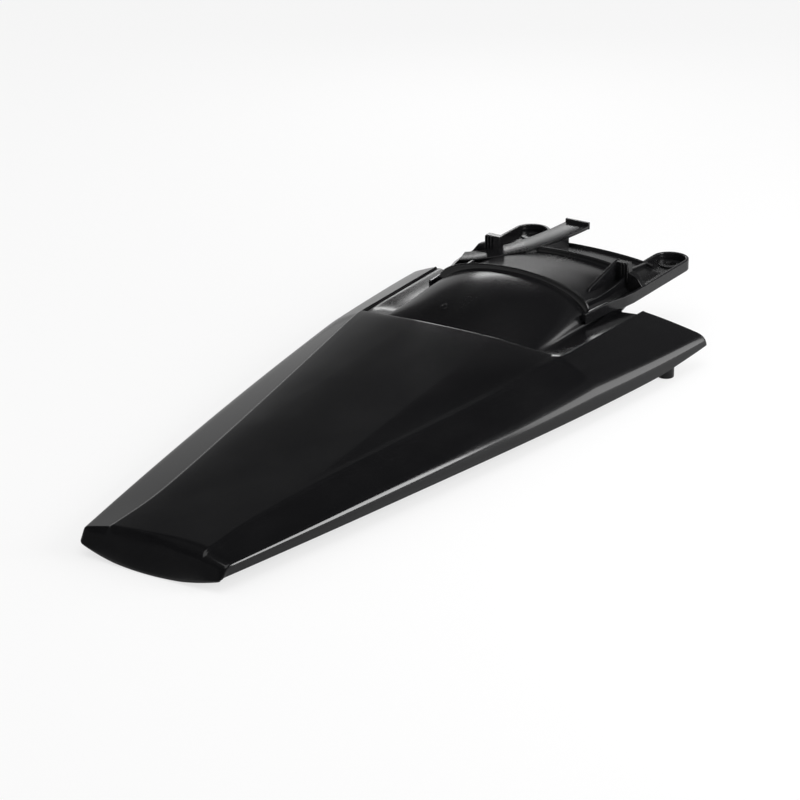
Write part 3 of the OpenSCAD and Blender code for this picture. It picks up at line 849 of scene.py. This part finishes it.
class FENDER_OT_arms(bpy.types.Operator):
    """Add the two mounting arms with their rims, pads and bolt holes"""
    bl_idname = "fender.arms"
    bl_label = "Mounting arms"
    bl_options = {"REGISTER", "UNDO"}

    def execute(self, context):
        scene = context.scene
        wall = scene.fender_shell.wall / MM
        t = scene.fender_ribs.thickness / MM
        mount = scene.fender_mounts
        satin = satin_plastic()
        flank = TUNNEL_W / 2 - wall / 2
        hole = list(reversed(circle(ARM_X, BOLT_Y, mount.bolt_hole / MM / 2)))
        floor = [(flank, ARM_BACK_Y)] + arm_edge(0.2) + [(flank, RIM_Y - 1)]
        rim = arm_edge(0) + list(reversed(arm_edge(t)))
        pad = circle(ARM_X, BOLT_Y, mount.bolt_pad / MM / 2)
        low = ARM_H - wall
        plates = (("arm_floor_", [floor, hole], low, ARM_H, 0.4),
                  ("arm_rim_", [rim], low, ARM_H + ARM_RIM, 0.7),
                  ("bolt_pad_", [pad, hole], low + 0.3, ARM_H + 1.2, 0.4))
        for side, mirror in SIDES:
            for name, loops, bottom, top, edge in plates:
                settle(plate_mesh(name + side, loops, bottom, top, lying, edge, mirror), satin)
        return {"FINISHED"}


class FENDER_OT_stops(bpy.types.Operator):
    """Add the fin on the right, and the channel walls and stops beside the tunnel"""
    bl_idname = "fender.stops"
    bl_label = "Fin, walls and stops"
    bl_options = {"REGISTER", "UNDO"}

    def execute(self, context):
        scene = context.scene
        wall = scene.fender_shell.wall / MM
        t = scene.fender_ribs.thickness / MM
        satin = satin_plastic()
        foot, rim_top = ARM_H - wall / 2, ARM_H + ARM_RIM
        start = RIB_1_Y + 22
        fin_ys = [mix(start, RIM_Y, k / 8) for k in range(9)]
        fin = [(y, tunnel_z(FIN_X + t / 2, y) - wall / 2) for y in fin_ys]
        fin += [(RIM_Y, rim_top), (STOP_Y + 9, rim_top + 4), (STOP_Y + 6, STOP_H),
                (STOP_Y, STOP_H), (start + 3, tunnel_z(FIN_X, start) + 2)]
        stop_xs = [mix(FIN_X, TUNNEL_W / 2 - 0.7, k / 4) for k in range(5)]
        stop = [(x, max(foot, tunnel_z(x, STOP_Y + 3) - wall / 2)) for x in stop_xs]
        stop += [(ARM_OUT - 1, foot), (ARM_OUT - 1, rim_top), (FIN_X + STOP_W + 7, WEB_H - 2),
                 (FIN_X + STOP_W + 1, WEB_H), (FIN_X + STOP_W, STOP_H), (FIN_X, STOP_H)]
        wall_x = ARM_X - 2
        wall_ys = [mix(RIB_1_Y + 1, STOP_Y + 1, k / 8) for k in range(9)]
        channel_wall = [(y, tunnel_z(wall_x, y) - wall / 2) for y in wall_ys]
        channel_wall += [(y, max(rim_top, tunnel_z(wall_x - t / 2, y)) + CHANNEL_RISE + 3 * (k / 8) ** 3)
                         for k, y in reversed(list(enumerate(wall_ys)))]
        block = box(ARM_X - 7, ARM_X + 4, foot, rim_top + 3)
        settle(plate_mesh("fin", [fin], FIN_X, FIN_X + t, upright_along, 0.5), satin)
        plates = [("channel_wall_{}", channel_wall, wall_x - t / 2, wall_x + t / 2, upright_along, 0.7),
                  ("stop_block_{}", block, STOP_Y + 4, STOP_Y + 14, upright_across, 0.7),
                  ("stop_{}", stop, STOP_Y, STOP_Y + 6, upright_across, 0.6)]
        for k in range(3):
            x = FIN_X + STOP_W - 1 - STOP_RIDGE_PITCH * k
            ridge = box(x, x + STOP_RIDGE_W, rim_top + 1, STOP_H - 0.5)
            plates.append(("stop_ridge_{}_" + str(k + 1), ridge, STOP_Y - 1.1, STOP_Y + 0.9,
                           upright_across, 0.4))
        for side, mirror in SIDES:
            for name, outline, low, high, place, edge in plates:
                settle(plate_mesh(name.format(side), [outline], low, high, place, edge, mirror), satin)
        return {"FINISHED"}


# Corner points of the curve along the middle of the strap, from the left arm to the tongue's end.
STRAP_PATH = [(-ARM_OUT + 3, STOP_Y - 18), (-ARM_X + 12, STOP_Y - 11), (TONGUE_X - 7.5, STOP_Y + 14),
              (TONGUE_X, RIM_Y + TONGUE_REACH)]
STRAP_STEPS = 48
WEB_SINK = 1.4


def strap_at(t):
    """Point on the strap's middle line at share t of it."""
    weights = ((1 - t) ** 3, 3 * t * (1 - t) ** 2, 3 * t * t * (1 - t), t ** 3)
    return tuple(sum(w * p[axis] for w, p in zip(weights, STRAP_PATH)) for axis in (0, 1))


def strap_side(t):
    """Direction across the strap."""
    a, b = strap_at(max(0, t - 0.01)), strap_at(min(1, t + 0.01))
    dx, dy = b[0] - a[0], b[1] - a[1]
    size = math.hypot(dx, dy)
    return dy / size, -dx / size


def strap_z(t):
    """Height of the strap's upper face."""
    return STRAP_LOW + (STRAP_HIGH - STRAP_LOW) * (0.75 * t + 0.25 * ease(t))


class FENDER_OT_strap(bpy.types.Operator):
    """Add the strap that crosses the left arm and runs out as the seat tongue"""
    bl_idname = "fender.strap"
    bl_label = "Strap and seat tongue"
    bl_options = {"REGISTER", "UNDO"}

    def execute(self, context):
        strap = context.scene.fender_strap
        rib_t = context.scene.fender_ribs.thickness / MM
        thick = strap.thickness / MM
        shares = [k / STRAP_STEPS for k in range(STRAP_STEPS + 1)]

        def half(t):
            return strap.width / MM / 2 * (1 + 0.05 * ease((t - 0.7) / 0.3))

        rings = []
        for t in shares:
            (cx, cy), (sx, sy), z, w = strap_at(t), strap_side(t), strap_z(t), half(t)
            profile = [(-w + 0.5, -thick), (-w, -thick + 0.5), (-w, -0.6), (-w + 0.2, -0.15),
                       (-w + 0.7, 0), (w - 0.7, 0), (w - 0.2, -0.15), (w, -0.6),
                       (w, -thick + 0.5), (w - 0.5, -thick)]
            rings.append([(cx + sx * u, cy + sy * u, z + v) for u, v in profile])
        satin = satin_plastic()
        settle(loft_mesh("seat_strap", rings, sharp=50), grained_plastic())
        rings = []
        for t in shares:
            c = strap_at(t)
            if c[1] > RIM_Y - 4:
                continue
            s, w, z = strap_side(t), half(t) - rib_t, strap_z(t) - 0.4
            p = (c[0] + s[0] * w, c[1] + s[1] * w)
            q = (p[0] + s[0] * rib_t, p[1] + s[1] * rib_t)
            low = max(ARM_H, tunnel_z(*p)) - WEB_SINK
            rings.append([(*p, low), (*q, low), (*q, z), (*p, z)])
        settle(loft_mesh("strap_web", rings, sharp=40), satin)
        end, w = RIM_Y + TONGUE_REACH, half(1)
        bar = box(TONGUE_X - w, TONGUE_X + w, STRAP_HIGH - thick, STRAP_HIGH + HOOK_H)
        settle(plate_mesh("tongue_hook", [bar], end - rib_t, end, upright_across, 0.6), satin)
        return {"FINISHED"}


def turned_mesh(name, profile, x, y, mirror=False, steps=48, tilt=None):
    """A turned piece from (radius, height) pairs; a closed profile makes a closed ring."""
    bm = bmesh.new()
    rows = []
    for k in range(steps):
        a = math.tau * k / steps
        row = []
        for r, z in profile:
            px = x + r * math.cos(a)
            height = z if tilt is None else tilt(px, y + r * math.sin(a), z)
            row.append(bm.verts.new(Vector((-px if mirror else px, y + r * math.sin(a), height)) * MM))
        rows.append(row)
    count = len(profile)
    for k in range(steps):
        a, b = rows[k], rows[(k + 1) % steps]
        for m in range(count):
            n = (m + 1) % count
            bm.faces.new([a[m], b[m], b[n], a[n]])
    bmesh.ops.remove_doubles(bm, verts=bm.verts, dist=1e-6)
    return finish_mesh(name, bm, sharp=35)


BOSS_TOP, BOSS_HOLE_DEPTH = 21.0, 10.0
PIP_X, PIP_Y, PIP_R = -22.0, 404.0, 2.9


def slope_z(x, y):
    """Height of the wing's upper face between its inner edge and the outer corner."""
    section = half_section(y, -1)
    foot, corner = section[BAY_J + 2], (side_x(y) - side_lean(y), side_corner(y))
    return run(x, foot[0], foot[1], corner[0], corner[1])


class FENDER_OT_bosses(bpy.types.Operator):
    """Add the screw bosses under the wings and the small pip on the dome"""
    bl_idname = "fender.bosses"
    bl_label = "Bosses"
    bl_options = {"REGISTER", "UNDO"}

    def execute(self, context):
        scene = context.scene
        wall = scene.fender_shell.wall / MM
        r, hole = scene.fender_mounts.boss / MM / 2, scene.fender_mounts.boss_hole / MM / 2
        satin = satin_plastic()

        def cut_to_wing(x, y, z):
            return slope_z(x, y) - wall if z == BOSS_TOP else z

        def set_on_dome(x, y, z):
            return tunnel_z(x, y) + z

        boss = [(hole + 0.4, 0.0), (r - 0.5, 0.0), (r - 0.15, 0.15), (r, 0.5), (r, BOSS_TOP),
                (0.01, BOSS_TOP), (0.01, BOSS_HOLE_DEPTH), (hole, BOSS_HOLE_DEPTH), (hole, 0.4)]
        for side, mirror in SIDES:
            settle(turned_mesh("boss_" + side, boss, BOSS_X, BOSS_Y, mirror, tilt=cut_to_wing), satin)
        pip = [(0.01, -1.0), (PIP_R, -1.0), (PIP_R, 0.25), (PIP_R - 0.3, 0.4), (1.7, 0.4), (1.5, 0.1),
               (0.01, 0.1)]
        settle(turned_mesh("dome_pip", pip, PIP_X, PIP_Y, tilt=set_on_dome), satin)
        return {"FINISHED"}


# Stage. Places are in metres from the middle of the fender.

# What glossy faces see of the room: height of the direction, 0 at the horizon and 1 overhead, and grey.
MIRRORED_ROOM = ((0.30, 0.44), (0.335, 0.36), (0.37, 0.16), (0.42, 0.075), (0.50, 0.06),
                 (0.585, 0.075), (0.605, 0.065), (0.64, 0.010), (0.74, 0.01))
MIRRORED_HORIZON, MIRRORED_OVERHEAD = 0.55, 0.12
ROOM_LIGHT = 0.62
MIRRORED_FLOOR = 0.52
FLOOR_PAPER = 0.7
FLOOR_SIZE, FLOOR_GAP = 8.0, 0.0003

# Name, place, target, width and height of each soft lamp.
LAMPS = (("overhead", (0.2, -0.3, 2.6), (0, 0, 0), 2.0, 2.0),
         ("front", (-0.405, 0.80, 0.345), (-0.03, 0.23, 0.06), 0.21, 0.10),
         ("edge", (0.80, 0.80, 0.15), (0.12, 0.14, 0.02), 0.40, 0.29),
         ("side", (0.95, 0.38, 0.48), (0.10, -0.12, 0.03), 0.40, 0.60))

CAMERA_AZIMUTH, CAMERA_ELEVATION = math.radians(32.5), math.radians(22.0)
CAMERA_PLACE = (1.2213, -1.6087 - HALF_LENGTH * MM, 0.9364)
CAMERA_LENS, CAMERA_SENSOR, CAMERA_NEAR = 153.0, 36.0, 0.01


def grey(level):
    return (level, level, level, 1)


def studio_world(scene):
    """A white room for the camera; reflections see it pale at the horizon and dark overhead."""
    world = bpy.data.worlds.new("Studio")
    scene.world = world
    world.use_nodes = True
    nodes, links = world.node_tree.nodes, world.node_tree.links
    nodes.clear()
    path = nodes.new("ShaderNodeLightPath")
    place = nodes.new("ShaderNodeTexCoord")
    height = nodes.new("ShaderNodeSeparateXYZ")
    links.new(place.outputs["Generated"], height.inputs["Vector"])
    ramp = nodes.new("ShaderNodeValToRGB")
    links.new(height.outputs["Z"], ramp.inputs["Fac"])
    stops = ramp.color_ramp
    stops.elements[0].position, stops.elements[0].color = 0.0, grey(MIRRORED_HORIZON)
    stops.elements[1].position, stops.elements[1].color = 1.0, grey(MIRRORED_OVERHEAD)
    for position, level in MIRRORED_ROOM:
        stops.elements.new(position).color = grey(level)
    room = nodes.new("ShaderNodeBackground")
    room.inputs["Color"].default_value = grey(ROOM_LIGHT)
    mirrored = nodes.new("ShaderNodeBackground")
    links.new(ramp.outputs["Color"], mirrored.inputs["Color"])
    seen = nodes.new("ShaderNodeBackground")
    seen.inputs["Color"].default_value = grey(1)
    glossy = nodes.new("ShaderNodeMixShader")
    camera = nodes.new("ShaderNodeMixShader")
    links.new(path.outputs["Is Glossy Ray"], glossy.inputs["Fac"])
    links.new(room.outputs["Background"], glossy.inputs[1])
    links.new(mirrored.outputs["Background"], glossy.inputs[2])
    links.new(path.outputs["Is Camera Ray"], camera.inputs["Fac"])
    links.new(glossy.outputs["Shader"], camera.inputs[1])
    links.new(seen.outputs["Background"], camera.inputs[2])
    end = nodes.new("ShaderNodeOutputWorld")
    links.new(camera.outputs["Shader"], end.inputs["Surface"])


def floor_material(colour):
    """Pale floor that keeps the shadow, and mirrors as a paler grey in glossy pieces."""
    material = bpy.data.materials.new("Pale studio floor")
    material.use_nodes = True
    nodes, links = material.node_tree.nodes, material.node_tree.links
    nodes.clear()
    path = nodes.new("ShaderNodeLightPath")
    tone = nodes.new("ShaderNodeMix")
    tone.data_type = "RGBA"
    tone.inputs[6].default_value = (*colour, 1)
    tone.inputs[7].default_value = grey(MIRRORED_FLOOR)
    links.new(path.outputs["Is Glossy Ray"], tone.inputs[0])
    matt = nodes.new("ShaderNodeBsdfDiffuse")
    links.new(tone.outputs[2], matt.inputs["Color"])
    paper = nodes.new("ShaderNodeEmission")
    paper.inputs["Color"].default_value = grey(1)
    lift = nodes.new("ShaderNodeMath")
    lift.operation = "MULTIPLY"
    lift.inputs[1].default_value = FLOOR_PAPER
    links.new(path.outputs["Is Camera Ray"], lift.inputs[0])
    blend = nodes.new("ShaderNodeMixShader")
    links.new(lift.outputs["Value"], blend.inputs["Fac"])
    links.new(matt.outputs["BSDF"], blend.inputs[1])
    links.new(paper.outputs["Emission"], blend.inputs[2])
    end = nodes.new("ShaderNodeOutputMaterial")
    links.new(blend.outputs["Shader"], end.inputs["Surface"])
    return material


def soft_lamp(name, location, target, width, height, power):
    """A rectangular lamp that the camera doesn't see."""
    lamp = bpy.data.lights.new(name, "AREA")
    lamp.shape = "RECTANGLE"
    lamp.size, lamp.size_y, lamp.energy = width, height, power
    obj = bpy.data.objects.new(name, lamp)
    obj.location = location
    obj.rotation_euler = (Vector(target) - Vector(location)).to_track_quat("-Z", "Y").to_euler()
    obj.visible_camera = False
    bpy.context.scene.collection.objects.link(obj)


class FENDER_OT_stage(bpy.types.Operator):
    """Add the pale floor, the soft lamps, the room and the camera"""
    bl_idname = "fender.stage"
    bl_label = "Studio"
    bl_options = {"REGISTER", "UNDO"}

    def execute(self, context):
        scene = context.scene
        props = scene.fender_stage
        bm = bmesh.new()
        bmesh.ops.create_grid(bm, x_segments=4, y_segments=4, size=FLOOR_SIZE)
        mesh = bpy.data.meshes.new("studio_floor")
        bm.to_mesh(mesh)
        bm.free()
        floor = bpy.data.objects.new("studio_floor", mesh)
        floor.location.z = -FLOOR_GAP
        floor.data.materials.append(floor_material(tuple(props.floor_colour)))
        scene.collection.objects.link(floor)
        for name, place, target, width, height in LAMPS:
            soft_lamp(name + "_lamp", place, target, width, height, getattr(props, name + "_power"))
        studio_world(scene)
        lens = bpy.data.cameras.new("camera")
        lens.lens, lens.sensor_width, lens.clip_start = CAMERA_LENS, CAMERA_SENSOR, CAMERA_NEAR
        camera = bpy.data.objects.new("camera", lens)
        look = Vector((-math.sin(CAMERA_AZIMUTH) * math.cos(CAMERA_ELEVATION),
                       math.cos(CAMERA_AZIMUTH) * math.cos(CAMERA_ELEVATION),
                       -math.sin(CAMERA_ELEVATION)))
        camera.location = CAMERA_PLACE
        camera.rotation_euler = look.to_track_quat("-Z", "Y").to_euler()
        scene.collection.objects.link(camera)
        scene.camera = camera
        scene.view_settings.view_transform = "Standard"
        return {"FINISHED"}


class FENDER_PT_panel(bpy.types.Panel):
    """Lists the fender's pieces and the values that shape them"""
    bl_idname = "FENDER_PT_panel"
    bl_label = "Motorcycle rear fender"
    bl_space_type = "VIEW_3D"
    bl_region_type = "UI"
    bl_category = "Fender"

    def draw(self, context):
        layout = self.layout
        for operator in OPERATORS:
            layout.operator(operator.bl_idname)
        for name in PROPS:
            group = getattr(context.scene, name)
            box = layout.box()
            for key in group.__annotations__:
                box.prop(group, key)


PROPS = {
    "fender_shell": FenderShellProps,
    "fender_ribs": FenderRibProps,
    "fender_strap": FenderStrapProps,
    "fender_mounts": FenderMountProps,
    "fender_finish": FenderFinishProps,
    "fender_stage": FenderStageProps,
}
OPERATORS = (FENDER_OT_deck, FENDER_OT_tunnel, FENDER_OT_ribs, FENDER_OT_arms, FENDER_OT_stops,
             FENDER_OT_strap, FENDER_OT_bosses, FENDER_OT_stage)


def register():
    for name, group in PROPS.items():
        bpy.utils.register_class(group)
        setattr(bpy.types.Scene, name, bpy.props.PointerProperty(type=group))
    for cls in (*OPERATORS, FENDER_PT_panel):
        bpy.utils.register_class(cls)


def unregister():
    for cls in reversed((*OPERATORS, FENDER_PT_panel)):
        bpy.utils.unregister_class(cls)
    for name, group in reversed(list(PROPS.items())):
        delattr(bpy.types.Scene, name)
        bpy.utils.unregister_class(group)


def main():
    register()
    bpy.ops.fender.deck()
    bpy.ops.fender.tunnel()
    bpy.ops.fender.ribs()
    bpy.ops.fender.arms()
    bpy.ops.fender.stops()
    bpy.ops.fender.strap()
    bpy.ops.fender.bosses()
    bpy.ops.fender.stage()


if __name__ == "__main__":
    main()
